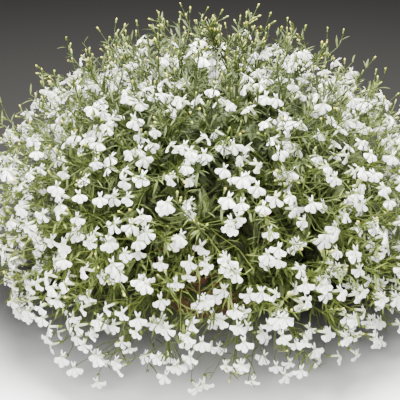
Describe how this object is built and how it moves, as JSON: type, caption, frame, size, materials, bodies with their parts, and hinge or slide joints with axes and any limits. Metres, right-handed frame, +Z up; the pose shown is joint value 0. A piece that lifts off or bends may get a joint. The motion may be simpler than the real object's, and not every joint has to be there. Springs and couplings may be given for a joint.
{
  "type": "potted plant",
  "caption": "Trailing lobelia in full white flower, a dome of thin leafy stems spilling over a round plastic nursery pot",
  "frame": {"origin": "centre of the pot's flat foot, on the surface that it stands on", "axes": "+Z up, the pot's axis; the picture looks along +Y and a little down, with +X to its right"},
  "size_m": [0.4718, 0.4692, 0.2907],
  "materials": {
    "pot_plastic": "terracotta-brown injection-moulded plastic, satin",
    "compost": "dark crumbly potting compost",
    "foliage": "living stems and narrow leaves, mid to yellow green",
    "petals": "thin white petals, softly translucent",
    "buds": "closed pale yellow-green buds"
  },
  "bodies": {
    "root": {"pot": "pot_plastic", "compost": "compost", "crown_spray_01": "foliage", "crown_spray_02": "foliage", "crown_spray_03": "foliage", "crown_spray_04": "foliage", "crown_spray_05": "foliage", "crown_spray_06": "foliage", "crown_spray_07": "foliage", "crown_spray_08": "foliage", "crown_spray_09": "foliage", "crown_spray_10": "foliage", "side_spray_11": "foliage", "side_spray_12": "foliage", "side_spray_13": "foliage", "side_spray_14": "foliage", "side_spray_15": "foliage", "side_spray_16": "foliage", "side_spray_17": "foliage", "side_spray_18": "foliage", "side_spray_19": "foliage", "side_spray_20": "foliage", "side_spray_21": "foliage", "trailing_spray_22": "foliage", "trailing_spray_23": "foliage", "trailing_spray_24": "foliage", "trailing_spray_25": "foliage", "trailing_spray_26": "foliage", "trailing_spray_27": "foliage", "trailing_spray_28": "foliage", "trailing_spray_29": "foliage", "trailing_spray_30": "foliage", "trailing_spray_31": "foliage", "trailing_spray_32": "foliage"}
  },
  "joints": []
}
